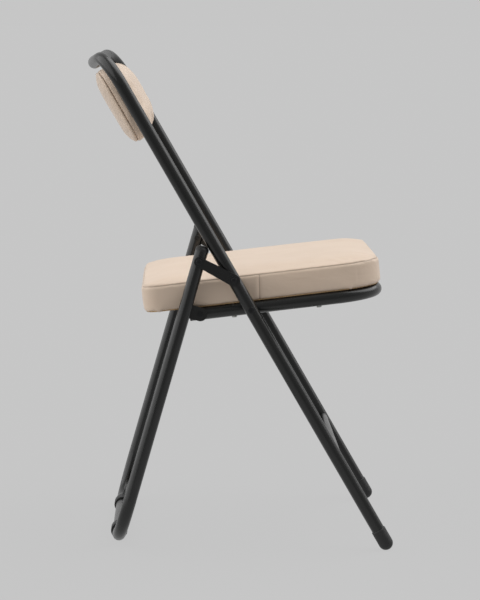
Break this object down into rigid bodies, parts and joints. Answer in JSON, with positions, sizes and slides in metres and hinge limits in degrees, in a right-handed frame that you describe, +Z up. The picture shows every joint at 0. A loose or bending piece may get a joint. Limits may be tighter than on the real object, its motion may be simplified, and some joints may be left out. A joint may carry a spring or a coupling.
{
  "type": "folding chair",
  "caption": "Folding chair with a bent round-tube frame, padded seat, padded curved back, and a U-shaped rear leg that folds on flat links.",
  "frame": {"origin": "on the floor, under the middle of the open chair", "axes": "+X the way the sitter faces, +Y the sitter's left, +Z up"},
  "size_m": [0.4736, 0.4328, 0.7648],
  "materials": {
    "black_coat": "satin",
    "black_plastic": "satin",
    "nylon": "satin",
    "rivet_steel": "satin",
    "leatherette": "soft grain",
    "plywood": "plain",
    "zinc_steel": "zinc plated",
    "dust_cloth": "non-woven"
  },
  "bodies": {
    "frame": {"frame_tube": "black_coat", "front_stretcher": "black_coat", "front_foot_left": "black_plastic", "front_foot_right": "black_plastic", "back_tab_left": "black_coat", "back_tab_right": "black_coat", "back_board": "plywood", "back_pad": "leatherette", "back_panel": "leatherette", "back_screws": "zinc_steel", "seat_rivet_left": "rivet_steel", "seat_rivet_right": "rivet_steel", "seat_spacer_left": "nylon", "seat_spacer_right": "nylon", "frame_rivet_left": "rivet_steel", "frame_rivet_right": "rivet_steel", "frame_washer_left": "rivet_steel", "frame_washer_right": "rivet_steel"},
    "seat": {"seat_tube": "black_coat", "seat_crossbar": "black_coat", "seat_plug_left": "black_plastic", "seat_plug_right": "black_plastic", "seat_pin_left": "rivet_steel", "seat_pin_right": "rivet_steel", "pin_washer_left": "nylon", "pin_washer_right": "nylon", "seat_board": "plywood", "seat_cushion": "leatherette", "seat_dust_cover": "dust_cloth", "seat_screws": "zinc_steel"},
    "link_left": {"link_left": "black_coat", "leg_rivet_left": "rivet_steel", "leg_washer_left": "rivet_steel"},
    "link_right": {"link_right": "black_coat", "leg_rivet_right": "rivet_steel", "leg_washer_right": "rivet_steel"},
    "rear_legs": {"rear_leg_tube": "black_coat", "leg_plug_left": "black_plastic", "leg_plug_right": "black_plastic", "rear_foot_left": "black_plastic", "rear_foot_right": "black_plastic", "bracket_left": "black_coat", "bracket_right": "black_coat", "bracket_rivet_left": "rivet_steel", "bracket_rivet_right": "rivet_steel"}
  },
  "joints": [
    {"name": "seat_fold", "type": "hinge", "parent": "frame", "child": "seat", "pos_m": [0.01615, 0, 0.3745], "axis": [0, -1, 0], "range_deg": [0, 108]},
    {"name": "link_left_turn", "type": "hinge", "parent": "frame", "child": "link_left", "pos_m": [-0.01017, 0, 0.42027], "axis": [0, -1, 0], "range_deg": [0, 115.8]},
    {"name": "link_right_turn", "type": "hinge", "parent": "frame", "child": "link_right", "pos_m": [-0.01017, 0, 0.42027], "axis": [0, -1, 0], "range_deg": [0, 115.8]},
    {"name": "rear_leg_fold", "type": "hinge", "parent": "link_left", "child": "rear_legs", "pos_m": [-0.0634, 0, 0.44865], "axis": [0, 1, 0], "range_deg": [0, 69.9]}
  ],
  "couplings": [
    {"joint": "link_left_turn", "follows": "seat_fold", "ratio": 1.0715},
    {"joint": "link_right_turn", "follows": "seat_fold", "ratio": 1.0715},
    {"joint": "rear_leg_fold", "follows": "seat_fold", "ratio": 0.64612}
  ]
}
